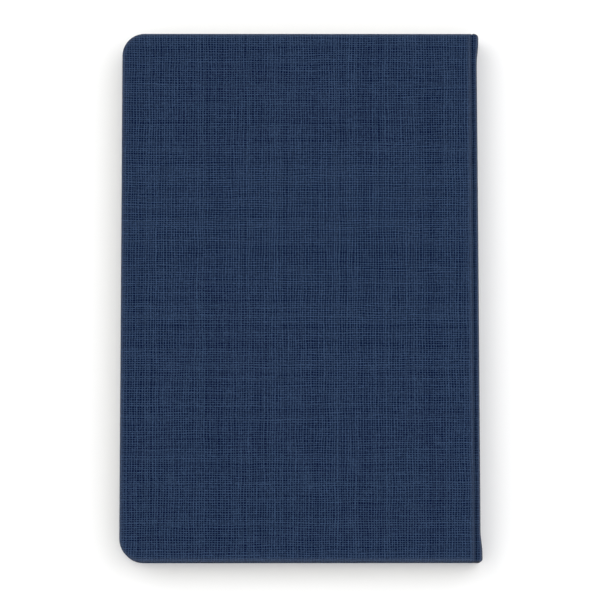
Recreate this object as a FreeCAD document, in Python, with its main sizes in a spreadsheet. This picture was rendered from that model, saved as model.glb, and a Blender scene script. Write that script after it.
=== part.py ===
import FreeCAD, Part
import os
import Sketcher

# Casebound pilot logbook, closed and lying face down.
# X runs from the fore edge (-) to the spine (+), Y from the tail (-) to the head (+), Z upwards.
# The origin is under the middle of the book, on the surface it lies on.
# Every "front" piece has a "rear" twin, turned over about the book's middle plane.

SIZES = {
    # the closed book
    "book_width": 142.0,
    "book_height": 210.0,
    "book_thickness": 15.0,
    # the cover: cloth, board, the cloth turned in over the board, and the paper lining
    "cloth_thickness": 0.30,
    "board_thickness": 1.70,
    "corner_radius": 8.8,
    "cloth_edge_radius": 0.45,
    "turn_in": 15.0,
    "endpaper_thickness": 0.15,
    "pastedown_margin": 2.6,
    # the leaves
    "leaf_gap": 0.05,
    "leaf_margin": 3.0,
    "leaf_corner_radius": 6.5,
    "signatures_per_half": 6.0,
    "fold_radius": 0.30,
    # how far pieces stay from the outside of the spine
    "cover_to_spine": 3.2,
    "leaf_to_spine": 2.7,
    "lip_to_spine": 2.2,
    "block_to_spine": 2.1,
    "waist_depth": 0.75,
    # the layers behind the folds, from the inside out
    "thread_thickness": 0.30,
    "mull_thickness": 0.20,
    "lining_thickness": 0.55,
    "mull_height": 182.0,
    "lining_height": 196.0,
    "station_spacing": 30.0,
    "thread_width": 0.45,
    # the cloth on the spine
    "half_gap": 0.04,
    "spine_end_length": 3.0,
    "spine_end_slope": 9.0,
    "spine_roll_radius": 0.5,
    "crease_depth": 0.60,
    "fold_clearance": 0.50,
    # the headbands
    "headband_radius": 0.70,
    "headband_tab": 8.0,
    "headband_tab_thickness": 0.28,
}

STATIONS = 6
SIDES = ("front", "rear")
TOLERANCE = 1e-4

doc = FreeCAD.newDocument("PilotLogbook")
sheet = doc.addObject("Spreadsheet::Sheet", "Sizes")
pieces = []


def fill_sheet():
    for row, (name, value) in enumerate(SIZES.items(), start=1):
        sheet.set(f"A{row}", name)
        sheet.set(f"B{row}", str(value))
        sheet.setAlias(f"B{row}", name)
    doc.recompute()


def cells(expression):
    """Turn the sheet's names in an expression into references to its cells."""
    words = []
    for word in expression.split():
        words.append(f"Sizes.{word}" if word in SIZES else word)
    return " ".join(words)


def number(expression):
    return float(sheet.evalExpression(cells(expression)))


def bind(obj, prop, expression):
    obj.setExpression(prop, cells(expression))


# Heights and places that several pieces share
FORE = "( book_width / -2 )"
HEAD = "( book_height / 2 )"
TAIL = "( book_height / -2 )"
SPINE = "( book_width / 2 )"
MIDDLE = "( book_thickness / 2 - half_gap / 2 )"
WRAP_HEIGHT = "( cloth_thickness * 2 + board_thickness )"
COVER_HEIGHT = f"( {WRAP_HEIGHT} + endpaper_thickness )"
FLYLEAF_BASE = f"( {COVER_HEIGHT} + leaf_gap )"
BLOCK_BASE = f"( {FLYLEAF_BASE} + endpaper_thickness + leaf_gap )"
BLOCK_HEIGHT = f"( {MIDDLE} - {BLOCK_BASE} )"
SIGNATURE_HEIGHT = f"( {BLOCK_HEIGHT} / signatures_per_half )"
COVER_SPINE_EDGE = f"( {SPINE} - cover_to_spine )"
BOARD_SPINE_EDGE = f"( {COVER_SPINE_EDGE} - cloth_thickness )"
LEAF_SPINE_EDGE = f"( {SPINE} - leaf_to_spine )"
SPINE_LIP = f"( {SPINE} - lip_to_spine )"
SPINE_WAIST = f"( {SPINE} - waist_depth )"
BLOCK_BACK = f"( {SPINE} - block_to_spine )"
LEAF_FORE = f"( {FORE} + leaf_margin )"
LEAF_HEAD = f"( {HEAD} - leaf_margin )"
LEAF_TAIL = f"( {TAIL} + leaf_margin )"
THREAD_BACK = f"( {BLOCK_BACK} + thread_thickness )"
MULL_BACK = f"( {THREAD_BACK} + mull_thickness )"
LINING_BACK = f"( {MULL_BACK} + lining_thickness )"
# The layers glued behind the folds stop short of the line where the spine bends
LAYER_HEIGHT = f"( {BLOCK_HEIGHT} - fold_clearance )"


def new_body(name, side):
    body = doc.addObject("PartDesign::Body", name)
    body.Label = name
    if side == "rear":
        turned_over = FreeCAD.Rotation(FreeCAD.Vector(1, 0, 0), 180)
        body.Placement = FreeCAD.Placement(FreeCAD.Vector(0, 0, 0), turned_over)
        bind(body, "Placement.Base.z", "book_thickness")
    return body


def sketch_on(body, role, base="0"):
    """An empty sketch on one of the body's origin planes, moved along its normal by base."""
    planes = [plane for plane in body.Origin.OriginFeatures if plane.Role == role]
    sketch = body.newObject("Sketcher::SketchObject", f"{body.Name}_sketch")
    sketch.AttachmentSupport = [(planes[0], "")]
    sketch.MapMode = "FlatFace"
    bind(sketch, ".AttachmentOffset.Base.z", base)
    return sketch


def outline(body, role, corners, base="0"):
    """A closed outline of straight lines, with both coordinates of each corner bound to the sheet."""
    sketch = sketch_on(body, role, base)
    points = [FreeCAD.Vector(number(across), number(up), 0) for across, up in corners]
    for index, start in enumerate(points):
        end = points[(index + 1) % len(points)]
        sketch.addGeometry(Part.LineSegment(start, end), False)
    for index, (across, up) in enumerate(corners):
        following = (index + 1) % len(corners)
        sketch.addConstraint(Sketcher.Constraint("Coincident", index, 2, following, 1))
        for kind, expression in (("DistanceX", across), ("DistanceY", up)):
            constraint = Sketcher.Constraint(kind, -1, 1, index, 1, number(expression))
            place = sketch.addConstraint(constraint)
            bind(sketch, f"Constraints[{place}]", expression)
    return sketch


def rectangle(left, right, bottom, top):
    return [(left, bottom), (right, bottom), (right, top), (left, top)]


def pad(body, sketch, length, symmetric=False):
    feature = body.newObject("PartDesign::Pad", f"{body.Name}_pad")
    feature.Profile = sketch
    bind(feature, "Length", length)
    feature.Midplane = symmetric
    doc.recompute()
    return feature


def pocket(body, sketch, length):
    """Cut upwards from the sketch, and make sure that the cut takes material away."""
    before = body.Shape.Volume
    feature = body.newObject("PartDesign::Pocket", f"{body.Name}_pocket")
    feature.Profile = sketch
    bind(feature, "Length", length)
    feature.Reversed = True
    doc.recompute()
    if body.Shape.Volume > before - TOLERANCE:
        raise RuntimeError(f"{feature.Name} cuts nothing")
    return feature


def edges_where(feature, wanted):
    """Names of the edges of a feature whose ends and centre all pass the test."""
    names = []
    for index, edge in enumerate(feature.Shape.Edges, start=1):
        points = [vertex.Point for vertex in edge.Vertexes] + [edge.CenterOfMass]
        if all(wanted(point) for point in points):
            names.append(f"Edge{index}")
    return names


def near(value, target):
    return abs(value - target) < TOLERANCE


def fillet(body, feature, wanted, radius):
    names = edges_where(feature, wanted)
    if not names:
        raise RuntimeError(f"no edge to round on {body.Name}")
    rounded = body.newObject("PartDesign::Fillet", f"{body.Name}_fillet")
    rounded.Base = (feature, names)
    bind(rounded, "Radius", radius)
    doc.recompute()
    return rounded


def round_fore_corners(body, feature, fore, head, radius):
    """Round the two upright edges at the fore edge, at head and tail."""
    fore_x = number(fore)
    head_y = number(head)
    return fillet(
        body, feature, lambda p: near(p.x, fore_x) and near(abs(p.y), head_y), radius
    )


def board(side):
    body = new_body(f"{side}_board", side)
    fore = f"{FORE} + cloth_thickness"
    head = f"{HEAD} - cloth_thickness"
    tail = f"{TAIL} + cloth_thickness"
    corners = rectangle(fore, BOARD_SPINE_EDGE, tail, head)
    slab = pad(body, outline(body, "XY_Plane", corners, "cloth_thickness"), "board_thickness")
    round_fore_corners(body, slab, fore, head, "corner_radius - cloth_thickness")
    pieces.append(body)
    return body


def cover_wrap(side, inner_board):
    """The cover's cloth: the outer sheet, its four edges and the turn-ins over the board."""
    blank = new_body(f"{side}_cover_blank", side)
    outer = rectangle(FORE, COVER_SPINE_EDGE, TAIL, HEAD)
    slab = pad(blank, outline(blank, "XY_Plane", outer), WRAP_HEIGHT)
    slab = round_fore_corners(blank, slab, FORE, HEAD, "corner_radius")
    fillet(blank, slab, lambda p: near(p.z, 0), "cloth_edge_radius")
    opening = rectangle(
        f"{FORE} + turn_in", BOARD_SPINE_EDGE, f"{TAIL} + turn_in", f"{HEAD} - turn_in"
    )
    base = "cloth_thickness + board_thickness"
    pocket(blank, outline(blank, "XY_Plane", opening, base), "cloth_thickness")
    wrap = doc.addObject("Part::Cut", f"{side}_cover_wrap")
    wrap.Label = f"{side}_cover_wrap"
    wrap.Base = blank
    wrap.Tool = inner_board
    pieces.append(wrap)


def leaf(name, side, margin, base, spine_edge):
    """A single sheet of endpaper with rounded fore corners."""
    body = new_body(name, side)
    fore = f"{FORE} + {margin}"
    head = f"{HEAD} - {margin}"
    corners = rectangle(fore, spine_edge, f"{TAIL} + {margin}", head)
    sheet_pad = pad(body, outline(body, "XY_Plane", corners, base), "endpaper_thickness")
    round_fore_corners(body, sheet_pad, fore, head, "leaf_corner_radius")
    pieces.append(body)


def signature(side, place):
    """One folded and sewn section of eight leaves. Place counts from the cover inwards."""
    total = int(2 * SIZES["signatures_per_half"])
    count = place + 1 if side == "front" else total - place
    body = new_body(f"signature_{count:02d}", side)
    base = f"{BLOCK_BASE} + {place} * {SIGNATURE_HEIGHT}"
    corners = rectangle(LEAF_FORE, BLOCK_BACK, LEAF_TAIL, LEAF_HEAD)
    section = pad(body, outline(body, "XY_Plane", corners, base), SIGNATURE_HEIGHT)
    section = round_fore_corners(body, section, LEAF_FORE, LEAF_HEAD, "leaf_corner_radius")
    back = number(BLOCK_BACK)
    bottom = number(base)
    top = number(f"{base} + {SIGNATURE_HEIGHT}")
    for level in (bottom, top):
        section = fillet(
            body, section, lambda p: near(p.x, back) and near(p.z, level), "fold_radius"
        )
    pieces.append(body)


def spine_wrap(side):
    """Half of the cloth on the spine. It stands out at head and tail, where it is turned in."""
    body = new_body(f"spine_wrap_{side}", side)
    straight = f"( {HEAD} - spine_end_length )"
    waist = f"( {straight} - spine_end_slope )"
    tail_waist = f"( 0 - {waist} )"
    tail_straight = f"( 0 - {straight} )"
    corners = [
        (SPINE_LIP, TAIL),
        (SPINE, TAIL),
        (SPINE, tail_straight),
        (SPINE_WAIST, tail_waist),
        (SPINE_WAIST, waist),
        (SPINE, straight),
        (SPINE, HEAD),
        (SPINE_LIP, HEAD),
    ]
    wall = pad(body, outline(body, "XY_Plane", corners), MIDDLE)
    lip_x = number(SPINE_LIP)
    wall = fillet(
        body, wall, lambda p: near(p.z, 0) and p.x > lip_x + TOLERANCE, "spine_roll_radius"
    )
    inside = rectangle(SPINE_LIP, LINING_BACK, TAIL, HEAD)
    pocket(body, outline(body, "XY_Plane", inside, "cloth_thickness"), MIDDLE)
    pieces.append(body)


def joint_strip(side):
    """The flexible strip of cloth pressed into the crease between cover and spine."""
    body = new_body(f"{side}_joint_strip", side)
    left = f"( {COVER_SPINE_EDGE} + half_gap / 2 )"
    right = f"( {SPINE_LIP} - half_gap / 2 )"
    centre = f"( ( {left} + {right} ) / 2 )"
    corners = [
        (left, "0"),
        (centre, "crease_depth"),
        (right, "0"),
        (right, "cloth_thickness"),
        (centre, "( crease_depth + cloth_thickness )"),
        (left, "cloth_thickness"),
    ]
    pad(body, outline(body, "XZ_Plane", corners), "book_height - 2 * cloth_thickness", True)
    pieces.append(body)


def box(name, low, size):
    """A Part box, given its low corner and its size along X, Y and Z."""
    solid = doc.addObject("Part::Box", name)
    solid.Label = name
    for prop, expression in zip(("Length", "Width", "Height"), size):
        bind(solid, prop, expression)
    for axis, expression in zip("xyz", low):
        bind(solid, f"Placement.Base.{axis}", expression)
    return solid


def half_base(side, height):
    """Where a piece of this height starts, when it reaches inwards from the block's outer face."""
    if side == "front":
        return BLOCK_BASE
    return f"( book_thickness - {BLOCK_BASE} - {height} )"


def spine_layer(name, side, inner, thickness, height):
    low = (inner, f"0 - {height} / 2", half_base(side, LAYER_HEIGHT))
    pieces.append(box(name, low, (thickness, height, LAYER_HEIGHT)))


def sewing_thread(side):
    """Thread along the folds and across them at the sewing stations, outside the block."""
    name = f"sewing_thread_{side}"
    first = f"( station_spacing * {(STATIONS - 1) / -2} )"
    half = "( thread_width / 2 )"
    base = half_base(side, BLOCK_HEIGHT)
    runs = []
    for station in range(STATIONS):
        place = f"{first} + {station} * station_spacing - {half}"
        low = (BLOCK_BACK, place, f"{base} + {half}")
        size = ("thread_thickness", "thread_width", f"{BLOCK_HEIGHT} - thread_width")
        runs.append(box(f"{name}_station_{station}", low, size))
    for row in range(int(SIZES["signatures_per_half"])):
        level = f"{base} + {row + 0.5} * {SIGNATURE_HEIGHT} - {half}"
        for station in range(row % 2, STATIONS - 1, 2):
            low = (BLOCK_BACK, f"{first} + {station} * station_spacing", level)
            size = ("thread_thickness", "station_spacing", "thread_width")
            runs.append(box(f"{name}_run_{row}_{station}", low, size))
    thread = doc.addObject("Part::MultiFuse", name)
    thread.Label = name
    thread.Shapes = runs
    thread.Refine = True
    pieces.append(thread)


def headband(side, end):
    """A rolled band glued to the back of the block, with its bead over the ends of the folds."""
    name = f"headband_{end}_{side}"
    sign = 1 if end == "head" else -1
    base = half_base(side, LAYER_HEIGHT)
    bead = doc.addObject("Part::Cylinder", f"{name}_bead")
    bind(bead, "Radius", "headband_radius")
    bind(bead, "Height", LAYER_HEIGHT)
    bind(bead, "Placement.Base.x", f"{BLOCK_BACK} - headband_radius / 2")
    bind(bead, "Placement.Base.y", f"{sign} * ( {LEAF_HEAD} + headband_radius + half_gap / 2 )")
    bind(bead, "Placement.Base.z", base)
    reach = "( headband_tab + headband_radius )"
    inner_end = f"( {LEAF_HEAD} - headband_tab )"
    tab_low = inner_end if end == "head" else f"( 0 - {inner_end} - {reach} )"
    tab = box(
        f"{name}_tab",
        (BLOCK_BACK, tab_low, base),
        ("headband_tab_thickness", reach, LAYER_HEIGHT),
    )
    band = doc.addObject("Part::Fuse", name)
    band.Label = name
    band.Base = bead
    band.Tool = tab
    pieces.append(band)


def build():
    fill_sheet()
    for side in SIDES:
        cover_wrap(side, board(side))
        leaf(f"{side}_pastedown", side, "pastedown_margin", WRAP_HEIGHT, BOARD_SPINE_EDGE)
        leaf(f"{side}_flyleaf", side, "leaf_margin", FLYLEAF_BASE, LEAF_SPINE_EDGE)
        for place in range(int(SIZES["signatures_per_half"])):
            signature(side, place)
        spine_wrap(side)
        joint_strip(side)
        sewing_thread(side)
        spine_layer(f"mull_{side}", side, THREAD_BACK, "mull_thickness", "mull_height")
        spine_layer(f"spine_lining_{side}", side, MULL_BACK, "lining_thickness", "lining_height")
        for end in ("head", "tail"):
            headband(side, end)
    doc.recompute()


def check():
    for obj in doc.Objects:
        if "Invalid" in obj.State or "Error" in obj.State:
            raise RuntimeError(f"{obj.Label} failed: {obj.State}")
    for piece in pieces:
        shape = piece.Shape
        if shape.isNull() or not shape.isValid() or len(shape.Solids) != 1:
            raise RuntimeError(f"{piece.Label} has no single valid solid")


def export():
    os.makedirs("parts", exist_ok=True)
    for piece in pieces:
        piece.Shape.exportStep(f"parts/{piece.Label}.step")
        bounds = piece.Shape.BoundBox
        print(
            f"{piece.Label}: x {bounds.XMin:.2f}..{bounds.XMax:.2f}, "
            f"y {bounds.YMin:.2f}..{bounds.YMax:.2f}, z {bounds.ZMin:.2f}..{bounds.ZMax:.2f}"
        )


build()
check()
export()
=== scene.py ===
import math
import random

import bmesh
import bpy
from mathutils import Matrix, Vector


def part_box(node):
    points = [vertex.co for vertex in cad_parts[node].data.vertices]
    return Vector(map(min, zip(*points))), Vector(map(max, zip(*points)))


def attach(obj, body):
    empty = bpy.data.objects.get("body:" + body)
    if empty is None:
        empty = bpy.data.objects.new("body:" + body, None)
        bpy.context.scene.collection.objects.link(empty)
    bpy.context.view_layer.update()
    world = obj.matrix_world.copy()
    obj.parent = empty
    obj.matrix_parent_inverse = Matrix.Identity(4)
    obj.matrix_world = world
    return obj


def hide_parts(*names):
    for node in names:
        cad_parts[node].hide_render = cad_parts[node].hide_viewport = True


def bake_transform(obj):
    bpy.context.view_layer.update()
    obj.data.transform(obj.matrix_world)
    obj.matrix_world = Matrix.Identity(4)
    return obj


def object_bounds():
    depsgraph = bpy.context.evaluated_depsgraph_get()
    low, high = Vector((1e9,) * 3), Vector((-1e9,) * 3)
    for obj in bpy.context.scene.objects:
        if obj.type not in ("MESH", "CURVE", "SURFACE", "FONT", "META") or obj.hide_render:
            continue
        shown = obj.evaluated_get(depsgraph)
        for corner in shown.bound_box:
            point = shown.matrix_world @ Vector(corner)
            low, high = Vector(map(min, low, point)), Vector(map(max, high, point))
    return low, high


bl_info = {
    "name": "Pilot Logbook",
    "version": (1, 0, 0),
    "blender": (4, 5, 0),
    "location": "View3D > Sidebar > Logbook",
    "description": "Builds a casebound pilot logbook in linen cloth around its packed parts",
    "category": "Object",
}

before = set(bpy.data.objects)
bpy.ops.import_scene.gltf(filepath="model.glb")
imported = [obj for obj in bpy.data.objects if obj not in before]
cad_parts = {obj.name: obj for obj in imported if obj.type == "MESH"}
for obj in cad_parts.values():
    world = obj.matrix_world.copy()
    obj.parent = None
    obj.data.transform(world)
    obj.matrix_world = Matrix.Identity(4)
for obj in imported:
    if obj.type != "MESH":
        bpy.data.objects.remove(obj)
frame_box = [list(corner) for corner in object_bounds()]

# ----------------------------------------------------------------------------------------------
# Places read from the frame. Lengths are in metres. The closed book lies face down: the rear
# cover is on top, and every front piece is the rear piece turned over about MIDDLE_Z.
# ----------------------------------------------------------------------------------------------
MM = 0.001
PER_MM = 1 / MM
COVER_LOW, COVER_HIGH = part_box("rear_cover_wrap")
TOP_Z = frame_box[1][2]
MIDDLE_Z = TOP_Z / 2
SPINE_X = frame_box[1][0]
HALF_HEIGHT = frame_box[1][1]
HALF_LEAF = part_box("rear_flyleaf")[1][1]
COVER_THICKNESS = COVER_HIGH[2] - COVER_LOW[2]
HEADBANDS = [
    f"headband_{end}_{side}" for end in ("head", "tail") for side in ("front", "rear")
]
SIDES = ("front", "rear")


def turned(side, z):
    """A height on the rear half, or its mirror image on the front half."""
    return z if side == "rear" else TOP_Z - z


# ----------------------------------------------------------------------------------------------
# What a user would change
# ----------------------------------------------------------------------------------------------
def length(name, description, default):
    return bpy.props.FloatProperty(
        name=name, description=description, default=default, min=0.0, unit="LENGTH", precision=5
    )


def colour(name, description, default):
    return bpy.props.FloatVectorProperty(
        name=name, description=description, default=default, size=3, subtype="COLOR", min=0, max=1
    )


class LogbookCloth(bpy.types.PropertyGroup):
    thread: colour("Thread", "Raised threads of the linen cloth", (0.0258, 0.0479, 0.0962))
    pit: colour("Pit", "Dark hollows between the threads", (0.0001, 0.0030, 0.0230))
    # Grey mixed into the rolled edges and the spine's ridge: partly worn cloth, partly a painted
    # highlight and sheen where those edges catch the light.
    wear_and_highlight: colour("Wear", "Rubbed cloth on the edges", (0.0820, 0.0800, 0.0850))
    warp_pitch: length("Warp pitch", "Distance between threads that run head to tail", 1.02 * MM)
    weft_pitch: length("Weft pitch", "Distance between threads that run to the spine", 0.90 * MM)
    relief: length("Relief", "Depth of the embossed weave", 0.09 * MM)
    thickness: length("Thickness", "Thickness of the cloth", 0.28 * MM)


class LogbookCover(bpy.types.PropertyGroup):
    corner_radius: length("Corner radius", "Radius of the fore corners", 8.8 * MM)
    spine_corner_radius: length("Spine corner radius", "Radius beside the spine", 0.5 * MM)
    edge_radius: length("Edge radius", "Roll of the cloth over the board's edges", 0.75 * MM)
    joint_radius: length("Joint radius", "Roll of the cloth into the crease", 0.95 * MM)
    inner_radius: length("Inner radius", "Roll of the cloth to the turn-ins", 0.35 * MM)
    turn_in: length("Turn-in", "Width of the cloth turned in over the board", 13.0 * MM)
    head_corner_radius: length("Head corner", "Radius of the spine's corner at the head", 1.6 * MM)
    tail_corner_radius: length("Tail corner", "Radius of the spine's corner at the tail", 0.9 * MM)
    spine_bulge: length("Spine bulge", "How far the spine stands out at head and tail", 0.75 * MM)


class LogbookPaper(bpy.types.PropertyGroup):
    page: colour("Page", "Writing paper of the signatures", (0.71, 0.68, 0.58))
    endpaper: colour("Endpaper", "Pastedowns and flyleaves", (0.66, 0.62, 0.50))
    rule: colour("Rule", "Printed lines of the log table", (0.20, 0.28, 0.36))
    row_height: length("Row height", "Distance between the ruled lines", 7.0 * MM)
    leaves: bpy.props.IntProperty(
        name="Leaves", description="Leaves in each signature", default=8, min=2
    )
    corner_radius: length("Corner radius", "Rounded fore corners of the leaves", 6.5 * MM)
    unevenness: length("Unevenness", "How unevenly the leaves are trimmed", 0.06 * MM)


class LogbookBinding(bpy.types.PropertyGroup):
    band_light: colour("Band light", "Light thread of the headbands", (0.55, 0.53, 0.46))
    band_dark: colour("Band dark", "Dark thread of the headbands", (0.030, 0.050, 0.120))
    band_stitch: length("Band stitch", "Distance between the headband's stitches", 0.60 * MM)
    board: colour("Board", "Greyboard inside the covers", (0.30, 0.28, 0.24))
    gauze: colour("Gauze", "Open gauze glued on the folds", (0.62, 0.60, 0.52))
    lining: colour("Lining", "Brown paper lining of the spine", (0.34, 0.22, 0.12))
    thread: colour("Thread", "Waxed sewing thread", (0.60, 0.57, 0.48))


class LogbookStage(bpy.types.PropertyGroup):
    floor: colour("Floor", "Pale floor", (0.92, 0.92, 0.92))
    surround: bpy.props.FloatProperty(
        name="Surround", description="Strength of the even light", default=1.0, min=0
    )
    softbox: bpy.props.FloatProperty(
        name="Softbox", description="Power of the large soft lights",
        default=5.0, min=0, unit="POWER"
    )
    distance: length("Distance", "From the camera to the book", 1264.6 * MM)
    tilt: bpy.props.FloatProperty(
        name="Tilt", description="Camera's lean towards the tail",
        default=math.radians(7.43), subtype="ANGLE"
    )
    turn: bpy.props.FloatProperty(
        name="Turn", description="Camera's lean across the book",
        default=math.radians(-0.34), subtype="ANGLE"
    )
    focal_length: bpy.props.FloatProperty(
        name="Focal length", description="Lens in millimetres", default=190.1, min=1
    )


# ----------------------------------------------------------------------------------------------
# Shader expressions
# ----------------------------------------------------------------------------------------------
class Value:
    """A number that varies over a surface. Arithmetic on it adds Math nodes."""

    def __init__(self, recipe, socket):
        self.recipe = recipe
        self.socket = socket

    def math(self, operation, *others):
        inputs = dict(enumerate((self, *others)))
        return self.recipe.node("ShaderNodeMath", {"operation": operation}, inputs)

    def __add__(self, other):
        return self.math("ADD", other)

    def __sub__(self, other):
        return self.math("SUBTRACT", other)

    def __mul__(self, other):
        return self.math("MULTIPLY", other)

    def __truediv__(self, other):
        return self.math("DIVIDE", other)

    def __pow__(self, other):
        return self.math("POWER", other)

    def __rsub__(self, other):
        return self * -1 + other

    def floor(self):
        return self.math("FLOOR")

    def fraction(self):
        return self.math("FRACT")

    def size(self):
        return self.math("ABSOLUTE")

    def largest(self, other):
        return self.math("MAXIMUM", other)

    def smallest(self, other):
        return self.math("MINIMUM", other)

    def above(self, other):
        return self.math("GREATER_THAN", other)

    def below(self, other):
        return self.math("LESS_THAN", other)

    def ramp(self, low, high, start=0.0, end=1.0):
        """Rises smoothly from start to end as the value goes from low to high."""
        settings = {"interpolation_type": "SMOOTHSTEP"}
        inputs = {"Value": self, "From Min": low, "From Max": high, "To Min": start, "To Max": end}
        return self.recipe.node("ShaderNodeMapRange", settings, inputs)


class Recipe:
    """A material under construction, on one Principled shader."""

    def __init__(self, name, roughness, specular):
        self.material = bpy.data.materials.new(name)
        self.material.use_nodes = True
        self.tree = self.material.node_tree
        self.shader = self.tree.nodes["Principled BSDF"]
        self.shader.inputs["Roughness"].default_value = roughness
        self.shader.inputs["Specular IOR Level"].default_value = specular

    def node(self, kind, settings=None, inputs=None, output=0):
        """Any node: its settings first, then its sockets by name or number."""
        made = self.tree.nodes.new(kind)
        for name, value in (settings or {}).items():
            setattr(made, name, value)
        for name, value in (inputs or {}).items():
            self.feed(made.inputs[name], value)
        return Value(self, made.outputs[output])

    def feed(self, socket, value):
        if isinstance(value, Value):
            self.tree.links.new(value.socket, socket)
        elif isinstance(value, tuple) and socket.type == "RGBA" and len(value) == 3:
            socket.default_value = (*value, 1.0)
        else:
            socket.default_value = value

    def point(self, source, scale):
        """The x, y and z of a coordinate, in units of 1 / scale metres."""
        if source == "flat":
            found = self.node("ShaderNodeUVMap", {"uv_map": "flat"})
        else:
            found = self.node("ShaderNodeTexCoord", output=3)
        parts = []
        for index in range(3):
            split = self.tree.nodes.new("ShaderNodeSeparateXYZ")
            self.tree.links.new(found.socket, split.inputs[0])
            parts.append(Value(self, split.outputs[index]) * scale)
        return parts

    def joined(self, x, y, z=0.0):
        return self.node("ShaderNodeCombineXYZ", None, {0: x, 1: y, 2: z})

    def noise(self, x, y, z=0.0, scale=1.0, detail=2.0, roughness=0.5):
        inputs = {
            "Vector": self.joined(x, y, z), "Scale": scale, "Detail": detail, "Roughness": roughness
        }
        return self.node("ShaderNodeTexNoise", None, inputs)

    def chance(self, x, y=0.0):
        """A random number from 0 to 1 for each whole x and y."""
        settings = {"noise_dimensions": "2D"}
        return self.node("ShaderNodeTexWhiteNoise", settings, {"Vector": self.joined(x, y)})

    def shaded(self, tint, shade):
        """A plain colour made lighter or darker over the surface."""
        return self.node(
            "ShaderNodeVectorMath", {"operation": "SCALE"}, {0: tuple_of(tint), "Scale": shade}
        )

    def mix(self, share, first, second):
        """Colour mix. Sockets 0, 6 and 7 are the factor and the two colours."""
        settings = {"data_type": "RGBA", "clamp_factor": True}
        return self.node("ShaderNodeMix", settings, {0: share, 6: first, 7: second}, output=2)

    def bump(self, height, distance):
        inputs = {"Height": height, "Distance": distance, "Strength": 1.0}
        return self.node("ShaderNodeBump", None, inputs)

    def finish(self, colour, roughness=None, normal=None):
        self.feed(self.shader.inputs["Base Color"], colour)
        if roughness is not None:
            self.feed(self.shader.inputs["Roughness"], roughness)
        if normal is not None:
            self.feed(self.shader.inputs["Normal"], normal)
        return self.material


def tuple_of(value):
    return tuple(value[:3])


# ----------------------------------------------------------------------------------------------
# Finishes
# ----------------------------------------------------------------------------------------------

def linen_cloth():
    """Navy book cloth, embossed with uneven crossing threads and dark hollows between them."""
    cloth = bpy.context.scene.logbook_cloth
    recipe = Recipe("linen_cloth", 0.62, 0.03)
    u, v, _ = recipe.point("flat", PER_MM)
    # Per-point mask, high on the rolled edges and the spine's ridge: partly real rubbing, partly a
    # painted highlight where these edges catch the light.
    rub_and_highlight = recipe.node("ShaderNodeAttribute", {"attribute_name": "rub_and_highlight"}, output=2)
    # threads are straight but unevenly spaced, with a slight drift
    warp_lean = recipe.noise(u, v * 0.06, 40.0, scale=0.50, detail=1.0) - 0.5
    weft_lean = recipe.noise(u * 0.06, v, 60.0, scale=0.50, detail=1.0) - 0.5
    drift = recipe.noise(u, v, scale=0.06, detail=2.0) - 0.5
    across = u * (1 / (cloth.warp_pitch / MM)) + warp_lean * 0.95 + drift * 1.1
    along = v * (1 / (cloth.weft_pitch / MM)) + weft_lean * 0.95 - drift * 1.0
    column, row = across.floor(), along.floor()
    warp_gap = thread_gap(recipe, across, column, 3.0)
    weft_gap = thread_gap(recipe, along, row, 17.0)
    # how open each gap is: a share all along its thread, and a share that comes and goes
    warp_run = recipe.noise(column * 3.71, v, 2.0, scale=0.26, detail=1.0).ramp(0.40, 0.62)
    weft_run = recipe.noise(u, row * 3.37, 5.0, scale=0.26, detail=1.0).ramp(0.40, 0.62)
    warp_open = recipe.chance(column, 5.0) * 0.5 + warp_run * 0.5
    weft_open = recipe.chance(row, 11.0) * 0.5 + weft_run * 0.5
    depth = warp_open * 0.14 + weft_open * 0.14 + recipe.chance(column, row) * 0.50 + 0.66
    hollow = warp_gap * weft_gap * depth
    warp_line = warp_gap * warp_open ** 3 * 0.17
    weft_line = weft_gap * weft_open ** 3 * 0.17
    faded = recipe.noise(u, v, 31.0, scale=0.16, detail=2.0).ramp(0.56, 0.72) * 0.22
    # the mask fades the hollows on the edges: part real rubbing, part painted highlight
    dark = (hollow + warp_line + weft_line).smallest(1.0) * (1 - faded.largest(rub_and_highlight * 0.85))
    warp_tone = recipe.noise(column * 5.3, v, 21.0, scale=0.16, detail=1.0)
    weft_tone = recipe.noise(u, row * 5.9, 23.0, scale=0.16, detail=1.0)
    tone = warp_tone * 0.18 + weft_tone * 0.18
    cloud = recipe.noise(u, v, 3.0, scale=0.05, detail=3.0)
    fibre = recipe.noise(u, v, 7.0, scale=3.2, detail=2.0)
    speck = recipe.noise(u, v, 13.0, scale=1.7, detail=1.0).ramp(0.32, 0.68)
    # the mask lifts the threads' lightness on the edges: wear together with a painted highlight
    light = tone + cloud * 0.10 + speck * 0.56 + fibre * 0.24 + 0.40 + rub_and_highlight * 0.22
    threads = recipe.shaded(cloth.thread, light)
    base = recipe.mix(dark, threads, tuple_of(cloth.pit))
    # and greys the cloth on the edges: worn cloth together with a painted sheen
    base = recipe.mix(rub_and_highlight * rub_and_highlight * (fibre * 0.5 + 0.3), base, tuple_of(cloth.wear_and_highlight))
    height = (1 - dark) * 0.8 + fibre * 0.2
    normal = recipe.bump(height, cloth.relief)
    return recipe.finish(base, dark.ramp(0.0, 1.0, 0.58, 0.80), normal)


def thread_gap(recipe, place, index, seed):
    """1 in the hollow between two threads and 0 on a thread, with uneven widths."""
    width = recipe.chance(index, seed)
    tooth = 1 - (place.fraction() * 2 - 1).size()
    return (tooth + width * 0.22 - 0.11).ramp(0.20, 0.54)


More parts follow.
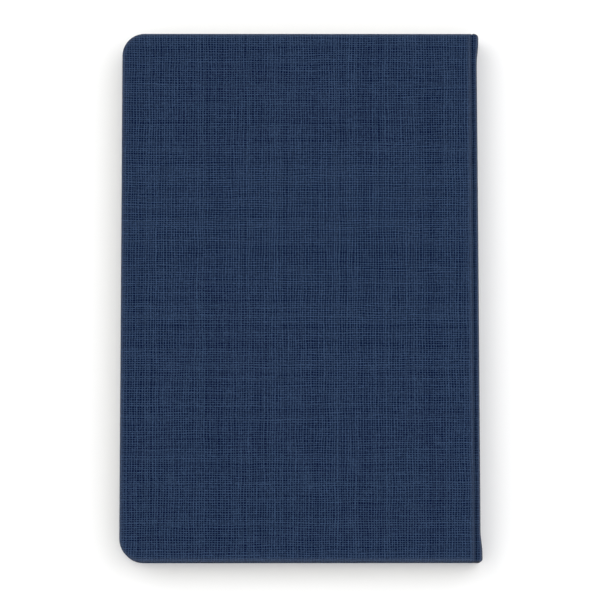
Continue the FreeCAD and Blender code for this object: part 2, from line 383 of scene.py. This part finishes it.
def writing_paper():
    """Page paper, with leaf edges and a ruled log table of plain lines."""
    paper = bpy.context.scene.logbook_paper
    recipe = Recipe("writing_paper", 0.85, 0.25)
    x, y, _ = recipe.point("flat", PER_MM)
    _, _, height = recipe.point("object", PER_MM)
    fibre = recipe.noise(x, y, scale=1.6, detail=4.0, roughness=0.7)
    cloud = recipe.noise(x, y, 4.0, scale=0.03, detail=2.0)
    # one tone for each leaf, which shows only where the block's edges are seen
    leaf = recipe.noise(0.0, 0.0, height * 6.0, scale=1.0, detail=2.0).ramp(0.30, 0.70)
    shade = fibre * 0.08 + cloud * 0.06 + leaf * 0.12 + 0.86
    sheet = recipe.shaded(paper.page, shade)
    lines = log_table(recipe, x, y, paper.row_height / MM)
    inked = recipe.mix(lines * 0.75, sheet, tuple_of(paper.rule))
    normal = recipe.bump(fibre, 0.02 * MM)
    return recipe.finish(inked, None, normal)


# How much thicker the table's frame is than its other lines
FRAME_WEIGHT = 1.8


def log_table(recipe, x, y, row_height):
    """Thin ruled rows, uneven columns and a heavier frame, inside the page's margins."""
    left, right, bottom, top, head = -60.0, 58.0, -92.0, 84.0, 92.0
    half_line = 0.11
    inside_x = (x - left).above(0.0) * (x - right).below(0.0)
    inside_y = (y - bottom).above(0.0) * (y - head).below(0.0)
    place = ((y - top) / row_height).fraction()
    rows = (place - 0.5).size().above(0.5 - half_line / row_height)
    rows = rows * (y - top - half_line).below(0.0)
    columns = None
    for column_x in (left, -44.0, -26.0, -8.0, 4.0, 16.0, 28.0, 40.0, right):
        line = (x - column_x).size().below(half_line)
        columns = line if columns is None else columns.largest(line)
    for frame_y in (bottom, top, head):
        rows = rows.largest((y - frame_y).size().below(half_line * FRAME_WEIGHT))
    columns = columns * inside_y
    return (rows * inside_x).largest(columns)


def end_paper():
    """Heavier laid paper of the pastedowns and flyleaves."""
    paper = bpy.context.scene.logbook_paper
    recipe = Recipe("end_paper", 0.80, 0.30)
    x, y, _ = recipe.point("object", PER_MM)
    fibre = recipe.noise(x, y, scale=1.1, detail=5.0, roughness=0.7)
    laid = ((y * 0.9).fraction() - 0.5).size().ramp(0.15, 0.40) * 0.035
    toning = recipe.noise(x, y, 8.0, scale=0.025, detail=3.0)
    shade = fibre * 0.16 + laid + toning * 0.12 + 0.82
    base = recipe.shaded(paper.endpaper, shade)
    return recipe.finish(base, None, recipe.bump(fibre + laid * 8, 0.03 * MM))


def speckled(name, tint, scale, contrast, roughness, relief):
    """A matte fibrous finish, used for greyboard, lining paper and thread."""
    recipe = Recipe(name, roughness, 0.25)
    x, y, z = recipe.point("object", PER_MM)
    grain = recipe.noise(x, y, z, scale=scale, detail=5.0, roughness=0.7)
    base = recipe.shaded(tint, grain * contrast + (1 - contrast / 2))
    return recipe.finish(base, None, recipe.bump(grain, relief))


def open_gauze():
    """Square open weave, glued down on the folds."""
    binding = bpy.context.scene.logbook_binding
    recipe = Recipe("open_gauze", 0.9, 0.2)
    _, y, z = recipe.point("object", PER_MM)
    cross = ((y * 1.25).fraction() - 0.5).size().ramp(0.12, 0.3)
    down = ((z * 1.25).fraction() - 0.5).size().ramp(0.12, 0.3)
    hole = cross * down
    base = recipe.mix(hole, tuple_of(binding.gauze), tuple_of(binding.lining))
    return recipe.finish(base, None, recipe.bump(1 - hole, 0.12 * MM))


def headband_thread():
    """Two colours of thread, wound in turn over the headband's core."""
    binding = bpy.context.scene.logbook_binding
    recipe = Recipe("headband_thread", 0.6, 0.3)
    _, _, z = recipe.point("object", PER_MM)
    turn = z * (0.5 / (binding.band_stitch / MM))
    stripe = (turn.fraction() - 0.5).size().ramp(0.2, 0.3)
    strand = ((turn * 2).fraction() - 0.5).size()
    base = recipe.mix(stripe, tuple_of(binding.band_dark), tuple_of(binding.band_light))
    return recipe.finish(base, None, recipe.bump(strand, 0.08 * MM))


def bare_floor():
    """Plain pale matte floor."""
    recipe = Recipe("bare_floor", 0.9, 0.1)
    return recipe.finish(tuple_of(bpy.context.scene.logbook_stage.floor))


FINISHES = {}


def finish_of(name):
    """Each finish is made once."""
    if name not in FINISHES:
        binding = bpy.context.scene.logbook_binding
        makers = {
            "linen_cloth": linen_cloth,
            "writing_paper": writing_paper,
            "end_paper": end_paper,
            "open_gauze": open_gauze,
            "headband_thread": headband_thread,
            "bare_floor": bare_floor,
            "greyboard": lambda: speckled(name, binding.board, 2.2, 0.35, 0.9, 0.05 * MM),
            "lining_paper": lambda: speckled(name, binding.lining, 1.5, 0.25, 0.8, 0.03 * MM),
            "sewing_thread": lambda: speckled(name, binding.thread, 5.0, 0.25, 0.6, 0.05 * MM),
        }
        FINISHES[name] = makers[name]()
    return FINISHES[name]


def paint_node(node, finish):
    """Give a carried-over CAD part its finish."""
    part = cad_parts[node]
    for material_slot in part.material_slots:
        material_slot.link = "OBJECT"
        material_slot.material = finish_of(finish)


# ----------------------------------------------------------------------------------------------
# Mesh helpers
# ----------------------------------------------------------------------------------------------
def new_piece(name, points, faces, flat, finish, rub_and_highlight=None):
    """A mesh piece. flat holds each point's place on the unfolded sheet; the last argument holds
    each point's wear and painted edge highlight.
    """
    mesh = bpy.data.meshes.new(name)
    mesh.from_pydata([tuple(point) for point in points], [], faces)
    layer = mesh.uv_layers.new(name="flat")
    for loop in mesh.loops:
        layer.data[loop.index].uv = flat[loop.vertex_index]
    if rub_and_highlight is not None:
        # point attribute of wear and painted edge highlight, read by the cloth's shader
        wear_and_highlight = mesh.attributes.new("rub_and_highlight", "FLOAT", "POINT")
        wear_and_highlight.data.foreach_set("value", rub_and_highlight)
    mesh.materials.append(finish_of(finish))
    made = bmesh.new()
    made.from_mesh(mesh)
    bmesh.ops.recalc_face_normals(made, faces=made.faces)
    made.to_mesh(mesh)
    made.free()
    mesh.shade_smooth()
    mesh.set_sharp_from_angle(angle=math.radians(50))
    mesh.update()
    piece = bpy.data.objects.new(name, mesh)
    bpy.context.scene.collection.objects.link(piece)
    return piece


SMALLEST_RADIUS = 0.02 * MM


def rounded_ring(box, insets, radii, steps=10):
    """A closed rounded rectangle. box is low x, high x and half height, insets are for the fore
    edge, the spine side and the ends, and radii are for the fore and the spine corners."""
    low_x, high_x, half = box
    fore, spine, end = insets
    left, right, half = low_x + fore, high_x - spine, half - end
    fore_radius = max(radii[0] - max(fore, end), SMALLEST_RADIUS)
    spine_radius = max(radii[1] - max(spine, end), SMALLEST_RADIUS)
    corners = (
        (right - spine_radius, half - spine_radius, spine_radius, 0),
        (left + fore_radius, half - fore_radius, fore_radius, 90),
        (left + fore_radius, -half + fore_radius, fore_radius, 180),
        (right - spine_radius, -half + spine_radius, spine_radius, 270),
    )
    ring = []
    for centre_x, centre_y, radius, start in corners:
        for step in range(steps + 1):
            angle = math.radians(start + 90 * step / steps)
            ring.append((centre_x + radius * math.cos(angle), centre_y + radius * math.sin(angle)))
    return ring


def ring_faces(rings, count):
    """Quads between successive closed rings, and a face over each end."""
    faces = []
    for level in range(rings - 1):
        for index in range(count):
            following = (index + 1) % count
            low = level * count
            high = low + count
            faces.append((low + index, low + following, high + following, high + index))
    faces.append(tuple(range(count)))
    faces.append(tuple(range((rings - 1) * count, rings * count)))
    return faces


def spine_bulge(y):
    """How far the spine stands out at this height, from 0 in the middle to 1 at head and tail."""
    headband, fall = 3.0, 9.0
    slope, middle = 0.02, 0.10
    from_end = (HALF_HEIGHT - abs(y)) / MM
    if from_end < headband:
        return 1.0 - slope * from_end
    share = min((from_end - headband) / fall, 1.0)
    smooth = share * share * (3 - 2 * share)
    belly = middle * math.cos(math.pi * min(abs(y) / HALF_HEIGHT, 1.0) * 0.5)
    return (1.0 - slope * headband) * (1 - smooth) + belly * smooth


def spine_stations(inset):
    """Places along the spine from tail to head, closer together near its ends."""
    from_end = (
        0.0, 0.4, 0.9, 1.5, 2.3, 3.4, 4.8, 6.4, 8.2, 10.2, 12.4, 16.0, 24.0, 38.0, 56.0, 80.0
    )
    tail = [-HALF_HEIGHT + inset + distance * MM for distance in from_end]
    return tail + [0.0] + [-place for place in reversed(tail)]


def end_round(y, radius):
    """How far a corner of this radius draws a band's end inwards at y."""
    from_end = max(HALF_HEIGHT - abs(y), 0.0)
    if from_end >= radius:
        return 0.0
    return radius - math.sqrt(radius * radius - (radius - from_end) ** 2)


def row_normals(rows):
    """For each row of a path in x and z, the direction to its right."""
    normals = []
    for index in range(len(rows)):
        before, after = rows[max(index - 1, 0)], rows[min(index + 1, len(rows) - 1)]
        run, rise = after[0] - before[0], after[1] - before[1]
        size = math.hypot(run, rise)
        normals.append((rise / size, -run / size))
    return normals


def band_outline(stations, thickness):
    """One row's loop: y and depth along the outside, round one end, back inside and round."""
    radius = thickness / 2
    turn = [math.radians(angle) for angle in (60, 30, 0, -30, -60)]
    outside = [(y, 0.0) for y in stations]
    inside = [(y, thickness) for y in reversed(stations)]
    head = [(stations[-1] + radius * math.cos(a), radius - radius * math.sin(a)) for a in turn]
    tail = [(stations[0] - radius * math.cos(a), radius + radius * math.sin(a)) for a in turn]
    return outside + head + inside + tail


# The cloth is rubbed, and painted lighter as a highlight, over this length at the spine's head and
# tail
RUB_AND_HIGHLIGHT_END = 0.5 * MM
# Added to the paper hinges' place on the flat sheet, to keep them clear of the page's table
SHEET_OFFSET = 0.07
# The front half's cloth is laid out on the same sheet, this far along and mirrored
FRONT_OFFSET = 0.5


def band(name, rows, outline, out_of, flat_of, finish, depth_sign=1):
    """A closed band that follows the rows: each is x, z, its share of the bulge and its wear with
    painted edge highlight.
    """
    points, flat, rub_and_highlight = [], [], []
    travelled = 0.0
    normals = row_normals(rows)
    for index, (x, z, share, wear_and_highlight) in enumerate(rows):
        if index:
            travelled += math.hypot(x - rows[index - 1][0], z - rows[index - 1][1])
        for y, depth in outline:
            out = out_of(y) * share
            shift = depth * depth_sign
            points.append((x + out + normals[index][0] * shift, y, z + normals[index][1] * shift))
            flat.append(flat_of(travelled, y))
            at_end = 1.0 if HALF_HEIGHT - abs(y) < RUB_AND_HIGHLIGHT_END else 0.0
            rub_and_highlight.append(max(wear_and_highlight, at_end))
    faces = ring_faces(len(rows), len(outline))
    return new_piece(name, points, faces, flat, finish, rub_and_highlight), travelled


def cloth_band(name, side, rows, start_length):
    """A band of the cover's cloth from tail to head. Returns it and its far edge's place."""
    cover = bpy.context.scene.logbook_cover
    thickness = bpy.context.scene.logbook_cloth.thickness
    outline = band_outline(spine_stations(thickness / 2), thickness)
    if side == "front":
        rows = [(x, TOP_Z - z, *rest) for x, z, *rest in rows]

    def out_of(y):
        corner = cover.head_corner_radius if y > 0 else cover.tail_corner_radius
        return cover.spine_bulge * spine_bulge(y) - end_round(y, corner)

    def flat_of(travelled, y):
        run = start_length + travelled
        return (run if side != "front" else FRONT_OFFSET - run, y)

    sign = -1 if side == "front" else 1
    piece, travelled = band(
        name, rows, outline, out_of, flat_of, "linen_cloth", sign
    )
    return piece, start_length + travelled


def paper_band(name, side, rows, finish, depth_sign):
    """A thin closed strip of paper that follows the rows from tail to head."""
    if side == "front":
        rows = [(x, TOP_Z - z, *rest) for x, z, *rest in rows]
        depth_sign = -depth_sign
    thickness = 0.05 * MM
    ends = (-HALF_LEAF, HALF_LEAF)
    outline = [(y, 0.0) for y in ends] + [(y, thickness) for y in reversed(ends)]
    return band(
        name, rows, outline, lambda y: 0.0, lambda travelled, y: (travelled + SHEET_OFFSET, y),
        finish, depth_sign,
    )[0]


# ----------------------------------------------------------------------------------------------
# Cross-sections of the rear half. Each row is the distance inwards from the furthest point of
# the spine and down from the book's top, in millimetres, the share of the bulge, and the wear with
# painted edge highlight.
# ----------------------------------------------------------------------------------------------
def section(rows):
    return [(SPINE_X - x * MM, TOP_Z - z * MM, *rest) for x, z, *rest in rows]


# The last column is highest on the spine's ridge: wear there, and a painted highlight where the
# ridge catches the light.
CREASE_ROWS = (
    (3.24, 0.56, 0.0, 0.7), (3.10, 0.80, 0.0, 0.6), (2.92, 1.00, 0.0, 0.4), (2.70, 1.06, 0.0, 0.0),
    (2.50, 0.98, 0.0, 0.0), (2.34, 0.76, 0.1, 0.0), (2.20, 0.50, 0.2, 0.0), (1.98, 0.30, 0.4, 0.1),
    (1.68, 0.20, 0.6, 0.3), (1.38, 0.24, 0.8, 0.6), (1.10, 0.42, 0.9, 0.9), (0.88, 0.68, 1.0, 1.0),
    (0.80, 0.96, 1.0, 1.0), (0.77, 1.40, 1.0, 1.0),
)
SPINE_ROWS = (
    (0.77, 1.40, 1.0, 1.0), (0.75, 1.80, 1.0, 0.6), (0.75, 2.60, 1.0, 0.2), (0.75, 4.00, 1.0, 0.0),
    (0.75, 5.60, 1.0, 0.0),
)
FOLD_ROWS = ((0.75, 5.60, 1.0, 0.0), (0.75, 6.40, 1.0, 0.0), (0.75, 7.20, 1.0, 0.0))
# Where each band changes from one part of the book to the next
COVER_BREAK = ((0.80, 1.28), (0.80, 1.36))
SPINE_BREAK = ((0.77, 1.46), (0.77, 1.74))


class LogbookOperator:
    """What the logbook's operators share."""

    bl_options = {"REGISTER", "UNDO"}


class LOGBOOK_OT_covers(LogbookOperator, bpy.types.Operator):
    """Cloth of both covers, with rolled edges, rounded corners and turn-ins"""

    bl_idname = "logbook.covers"
    bl_label = "Covers"

    def execute(self, context):
        for side in SIDES:
            piece = cover_cloth(side)
            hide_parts(f"{side}_cover_wrap")
            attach(piece, f"{side}_cover")
            paint_node(f"{side}_board", "greyboard")
        return {"FINISHED"}


def cover_cloth(side):
    cover = bpy.context.scene.logbook_cover
    box = (-SPINE_X, COVER_HIGH[0] + 0.10 * MM, HALF_HEIGHT)
    radii = (cover.corner_radius, cover.spine_corner_radius)
    quarter = math.pi / 2
    turns = 6
    # each ring: its part of the section, how far along that part it is, and its wear with painted
    # edge highlight
    rings = [("flat", 4.0 * MM, 0.0), ("flat", 0.75 * MM, 0.15)]
    steps = [step / turns for step in range(turns + 1)]
    rings += [("outer", quarter * step, 0.50 + 0.15 * step) for step in steps]
    rings += [("side", 0.35, 0.7), ("side", 0.70, 0.6)]
    rings += [("inner", quarter * step, 0.6 - 0.6 * step) for step in steps]
    rings.append(("turned", cover.turn_in, 0.0))
    points, flat, rub_and_highlight = [], [], []
    for kind, amount, wear_and_highlight in rings:
        offsets, depths, spreads = ring_measure(kind, amount, cover)
        ring = rounded_ring(box, offsets, radii)
        spread = rounded_ring(box, spreads, radii)
        for index, (x, y) in enumerate(ring):
            share = spine_share(index, len(ring))
            depth = depths[0] * (1 - share) + depths[1] * share
            points.append((x, y, turned(side, TOP_Z - depth)))
            u, v = spread[index]
            flat.append((u if side == "rear" else FRONT_OFFSET - u, v))
            rub_and_highlight.append(wear_and_highlight * (1 - 0.15 * share))
    faces = ring_faces(len(rings), len(points) // len(rings))
    name = f"{side}_cover_cloth"
    return new_piece(name, points, faces, flat, "linen_cloth", rub_and_highlight)


def spine_share(index, count):
    """1 on the cover's spine side, 0 on its other sides, and in between round its corners."""
    quarter = count // 4
    corner, step = divmod(index, quarter)
    turn = step / (quarter - 1)
    if corner == 0:
        return 1 - turn
    if corner == 3:
        return turn
    return 0.0


def ring_measure(kind, amount, cover):
    """Insets at fore edge, spine and ends; depths at the edges and at the spine; flat insets."""
    thickness = COVER_THICKNESS
    quarter = math.pi / 2
    edge, joint, inner = cover.edge_radius, cover.joint_radius, cover.inner_radius
    side_run = thickness - edge - inner
    joint_run = thickness - joint - inner
    if kind == "flat":
        insets = (edge + amount, joint + amount, edge + amount)
        return insets, (0.0, 0.0), insets
    if kind == "outer":
        inset, deep = edge * (1 - math.sin(amount)), joint * (1 - math.sin(amount))
        depths = (edge * (1 - math.cos(amount)), joint * (1 - math.cos(amount)))
        flat = edge * (1 - amount)
        return (inset, deep, inset), depths, (flat, joint * (1 - amount), flat)
    if kind == "side":
        flat = edge * (1 - quarter) - side_run * amount
        deep = joint * (1 - quarter) - joint_run * amount
        return (0, 0, 0), (edge + side_run * amount, joint + joint_run * amount), (flat, deep, flat)
    if kind == "inner":
        inset = inner * (1 - math.cos(amount))
        depth = thickness - inner * (1 - math.sin(amount))
        flat = edge * (1 - quarter) - side_run - inner * amount
        return (inset, inset, inset), (depth, depth), (flat, flat, flat)
    flat = edge * (1 - quarter) - side_run - inner * quarter - amount
    return (amount, 1.0 * MM, amount), (thickness, thickness), (flat, flat, flat)


class LOGBOOK_OT_spine(LogbookOperator, bpy.types.Operator):
    """Cloth in the creases and on the spine"""

    bl_idname = "logbook.spine"
    bl_label = "Spine"

    def execute(self, context):
        for side in SIDES:
            crease, travelled = cloth_band(
                f"{side}_joint_cloth", side, section(CREASE_ROWS), SPINE_X - 3.2 * MM
            )
            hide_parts(f"{side}_joint_strip")
            start, end = (hinge_place(side, place) for place in COVER_BREAK)
            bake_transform(crease)
            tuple(start)
            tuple(end)

            spine, travelled = cloth_band(
                f"{side}_spine_cloth", side, section(SPINE_ROWS), travelled
            )
            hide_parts(f"spine_wrap_{side}")
            start, end = (hinge_place(side, place) for place in SPINE_BREAK)
            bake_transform(spine)
            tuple(start)
            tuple(end)
        upper = section(FOLD_ROWS)
        lower = [(x, TOP_Z - z, *rest) for x, z, *rest in reversed(upper)]
        fold, travelled = cloth_band("spine_fold_cloth", "middle", upper + lower, travelled)
        blend_at_middle(fold)
        return {"FINISHED"}


def hinge_place(side, place):
    x, z = place
    return (SPINE_X - x * MM, 0, turned(side, TOP_Z - z * MM))


def blend_at_middle(piece):
    """Bake a piece's placement into its mesh."""
    gap = 0.005 * MM
    low, high = (SPINE_X, 0, MIDDLE_Z - gap), (SPINE_X, 0, MIDDLE_Z + gap)
    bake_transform(piece)
    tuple(low)
    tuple(high)


class LOGBOOK_OT_leaves(LogbookOperator, bpy.types.Operator):
    """Sewn signatures, each a stack of separate leaves folded at the back"""

    bl_idname = "logbook.leaves"
    bl_label = "Leaves"

    def execute(self, context):
        signatures = sorted(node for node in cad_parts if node.startswith("signature_"))
        for number, node in enumerate(signatures):
            piece = leaf_stack(node, number)
            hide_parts(node)
            half = "front_half" if number < len(signatures) / 2 else "rear_half"
            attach(piece, half)
        return {"FINISHED"}


def leaf_stack(node, number):
    paper = bpy.context.scene.logbook_paper
    dice = random.Random(100 + number)
    sewn = [dice.uniform(-1, 1) * paper.unevenness for _ in range(2)]
    low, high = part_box(node)
    pitch = (high[2] - low[2]) / paper.leaves
    gap = 0.05 * pitch
    points, faces, flat = [], [], []
    for leaf in range(paper.leaves):
        nudge = [dice.uniform(-1, 1) * paper.unevenness + shift for shift in sewn]
        place = (leaf + 0.5) / paper.leaves * 2 - 1
        back = 0.30 * MM * (1 - math.sqrt(1 - place * place))
        margin = 2 * paper.unevenness
        box = (low[0] + margin + nudge[0], high[0] - back, high[1] - margin + nudge[1])
        ring = rounded_ring(box, (0, 0, 0), (paper.corner_radius, 0.1 * MM), 8)
        base = low[2] + leaf * pitch + gap / 2
        start = len(points)
        for z in (base, base + pitch - gap):
            points.extend((x, y, z) for x, y in ring)
            flat.extend(ring)
        count = len(ring)
        for face in ring_faces(2, count):
            faces.append(tuple(start + corner for corner in face))
    return new_piece(f"leaves_{number + 1:02d}", points, faces, flat, "writing_paper")


class LOGBOOK_OT_endpapers(LogbookOperator, bpy.types.Operator):
    """Pastedowns and flyleaves, with the paper hinges that join them to the covers and block"""

    bl_idname = "logbook.endpapers"
    bl_label = "Endpapers"

    def execute(self, context):
        for side in SIDES:
            paint_node(f"{side}_pastedown", "end_paper")
            paint_node(f"{side}_flyleaf", "end_paper")
            rows = section(with_no_bulge(ENDPAPER_ROWS))
            hinge = paper_band(f"{side}_endpaper_hinge", side, rows, "end_paper", -1)
            start, end = (hinge_place(side, place) for place in ENDPAPER_BREAK)
            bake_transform(hinge)
            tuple(start)
            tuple(end)
            rows = section(with_no_bulge(GUARD_ROWS))
            guard = paper_band(f"{side}_leaf_guard", side, rows, "end_paper", -1)
            start, end = (hinge_place(side, place) for place in GUARD_BREAK)
            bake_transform(guard)
            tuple(start)
            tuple(end)
        lower = [(x, TOP_Z - z, *rest) for x, z, *rest in section(with_no_bulge(CENTRE_ROWS))]
        upper = [(x, TOP_Z - z, *rest) for x, z, *rest in reversed(lower)]
        centre = paper_band(
            "centre_fold", "middle", lower + upper, "writing_paper", 1
        )
        blend_at_middle(centre)
        return {"FINISHED"}


# Paper hinges of the rear half, measured like the cloth's cross-sections
ENDPAPER_ROWS = (
    (9.00, 2.455), (4.60, 2.455), (3.60, 2.42), (3.00, 2.05), (2.40, 1.62), (1.66, 1.24),
    (1.22, 1.04), (1.18, 1.40), (1.45, 2.00), (2.05, 2.40), (2.72, 2.50),
)
ENDPAPER_BREAK = ((1.46, 1.08), (1.42, 1.12))
GUARD_ROWS = (
    (2.72, 2.63), (2.05, 2.28), (1.45, 1.98), (1.14, 1.98), (1.14, 2.30), (1.50, 2.62),
    (2.10, 2.74),
)
GUARD_BREAK = ((1.20, 1.88), (1.18, 1.92))
CENTRE_ROWS = (
    (8.0, 7.513), (2.3, 7.513), (2.0, 7.525), (1.7, 7.56), (1.4, 7.63), (1.18, 7.70), (1.06, 7.80),
)


def with_no_bulge(rows):
    return [(x, z, 0.0, 0.0) for x, z in rows]


class LOGBOOK_OT_binding(LogbookOperator, bpy.types.Operator):
    """Headbands, gauze, lining and sewing thread behind the folds"""

    bl_idname = "logbook.binding"
    bl_label = "Binding"

    def execute(self, context):
        for node in HEADBANDS:
            piece = wound_headband(node)
            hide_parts(node)
            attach(piece, "front_half" if node.endswith("front") else "rear_half")
        for side in SIDES:
            paint_node(f"sewing_thread_{side}", "sewing_thread")
            paint_node(f"mull_{side}", "open_gauze")
            paint_node(f"spine_lining_{side}", "lining_paper")
        return {"FINISHED"}


def wound_headband(node):
    """A bead of wound thread over the ends of the folds, swelling at each turn."""
    stitch = bpy.context.scene.logbook_binding.band_stitch
    low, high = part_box(node)
    head = low[1] > 0
    radius = 0.66 * MM
    centre_x = low[0] + radius + 0.05 * MM
    centre_y = (high[1] - radius - 0.03 * MM) if head else (low[1] + radius + 0.03 * MM)
    side = "front" if node.endswith("front") else "rear"
    bottom = low[2] if side == "front" else MIDDLE_Z + 0.03 * MM
    top = high[2] if side == "rear" else MIDDLE_Z - 0.03 * MM
    rounds, levels = 14, 56
    points, flat = [], []
    for level in range(levels + 1):
        z = bottom + (top - bottom) * level / levels
        swell = 0.90 + 0.10 * abs(math.sin(math.pi * z / stitch))
        for step in range(rounds):
            angle = 2 * math.pi * step / rounds
            points.append((
                centre_x + radius * swell * math.cos(angle),
                centre_y + radius * swell * math.sin(angle), z,
            ))
            flat.append((angle * radius, z))
    faces = ring_faces(levels + 1, rounds)
    return new_piece(f"{node}_bead", points, faces, flat, "headband_thread")


class LOGBOOK_OT_stage(LogbookOperator, bpy.types.Operator):
    """Plain pale floor, even studio light and the camera above the book"""

    bl_idname = "logbook.stage"
    bl_label = "Stage"

    def execute(self, context):
        floor = new_floor()
        stage = context.scene.logbook_stage
        context.scene.world = soft_surround(stage.surround)
        add_softbox("softbox_left", Vector((-0.9, 0.5, 1.3)), stage.softbox)
        add_softbox("softbox_right", Vector((0.9, 0.3, 1.2)), stage.softbox)
        add_camera(context)
        context.scene.view_settings.view_transform = "Standard"
        context.scene.view_settings.look = "None"
        return {"FINISHED"}


def soft_surround(strength):
    """Even light from above that falls off towards the horizon."""
    world = bpy.data.worlds.new("soft_surround")
    world.use_nodes = True
    nodes, links = world.node_tree.nodes, world.node_tree.links
    place = nodes.new("ShaderNodeTexCoord")
    split = nodes.new("ShaderNodeSeparateXYZ")
    rise = nodes.new("ShaderNodeMapRange")
    links.new(place.outputs["Generated"], split.inputs[0])
    links.new(split.outputs[2], rise.inputs["Value"])
    rise.inputs["To Min"].default_value = 0.55 * strength
    rise.inputs["To Max"].default_value = 1.20 * strength
    links.new(rise.outputs["Result"], nodes["Background"].inputs["Strength"])
    nodes["Background"].inputs["Color"].default_value = (1.0, 1.0, 1.0, 1.0)
    return world


def new_floor():
    half_width, steps = 3.0, 12
    made = bmesh.new()
    bmesh.ops.create_grid(made, x_segments=steps, y_segments=steps, size=half_width)
    mesh = bpy.data.meshes.new("studio_floor")
    made.to_mesh(mesh)
    made.free()
    mesh.materials.append(finish_of("bare_floor"))
    floor = bpy.data.objects.new("studio_floor", mesh)
    bpy.context.scene.collection.objects.link(floor)
    return floor


def add_softbox(name, place, power):
    data = bpy.data.lights.new(name, "AREA")
    data.shape = "RECTANGLE"
    data.size, data.size_y = 1.2, 1.2
    data.energy = power
    light = bpy.data.objects.new(name, data)
    light.location = place
    light.rotation_mode = "QUATERNION"
    light.rotation_quaternion = (-place).to_track_quat("-Z", "Y")
    bpy.context.scene.collection.objects.link(light)


def add_camera(context):
    stage = context.scene.logbook_stage
    data = bpy.data.cameras.new("camera")
    data.lens = stage.focal_length
    data.sensor_width = 36.0
    data.clip_start, data.clip_end = 0.05, 20.0
    camera = bpy.data.objects.new("camera", data)
    aim = Vector((-0.24 * MM, -0.18 * MM, 0.0))
    turn = Matrix.Rotation(stage.tilt, 4, "X") @ Matrix.Rotation(stage.turn, 4, "Y")
    camera.matrix_world = (
        Matrix.Translation(aim) @ turn @ Matrix.Translation((0, 0, stage.distance))
    )
    context.scene.collection.objects.link(camera)
    context.scene.camera = camera


# ----------------------------------------------------------------------------------------------
# Add-on
# ----------------------------------------------------------------------------------------------
GROUPS = (
    ("logbook_cloth", LogbookCloth),
    ("logbook_cover", LogbookCover),
    ("logbook_paper", LogbookPaper),
    ("logbook_binding", LogbookBinding),
    ("logbook_stage", LogbookStage),
)
OPERATORS = (
    LOGBOOK_OT_covers,
    LOGBOOK_OT_spine,
    LOGBOOK_OT_leaves,
    LOGBOOK_OT_endpapers,
    LOGBOOK_OT_binding,
    LOGBOOK_OT_stage,
)


class LOGBOOK_PT_panel(bpy.types.Panel):
    """Sizes, colours and building steps of the logbook"""

    bl_idname = "LOGBOOK_PT_panel"
    bl_label = "Logbook"
    bl_space_type = "VIEW_3D"
    bl_region_type = "UI"
    bl_category = "Logbook"

    def draw(self, context):
        layout = self.layout
        for name, group in GROUPS:
            box = layout.box()
            box.label(text=name.replace("logbook_", "").capitalize())
            for prop in group.__annotations__:
                box.prop(getattr(context.scene, name), prop)
        for operator in OPERATORS:
            layout.operator(operator.bl_idname)


def register():
    for name, group in GROUPS:
        bpy.utils.register_class(group)
        setattr(bpy.types.Scene, name, bpy.props.PointerProperty(type=group))
    for operator in OPERATORS:
        bpy.utils.register_class(operator)
    bpy.utils.register_class(LOGBOOK_PT_panel)


def unregister():
    bpy.utils.unregister_class(LOGBOOK_PT_panel)
    for operator in reversed(OPERATORS):
        bpy.utils.unregister_class(operator)
    for name, group in reversed(GROUPS):
        delattr(bpy.types.Scene, name)
        bpy.utils.unregister_class(group)


def main():
    register()
    bpy.ops.logbook.covers()
    bpy.ops.logbook.spine()
    bpy.ops.logbook.leaves()
    bpy.ops.logbook.endpapers()
    bpy.ops.logbook.binding()
    bpy.ops.logbook.stage()


if __name__ == "__main__":
    main()
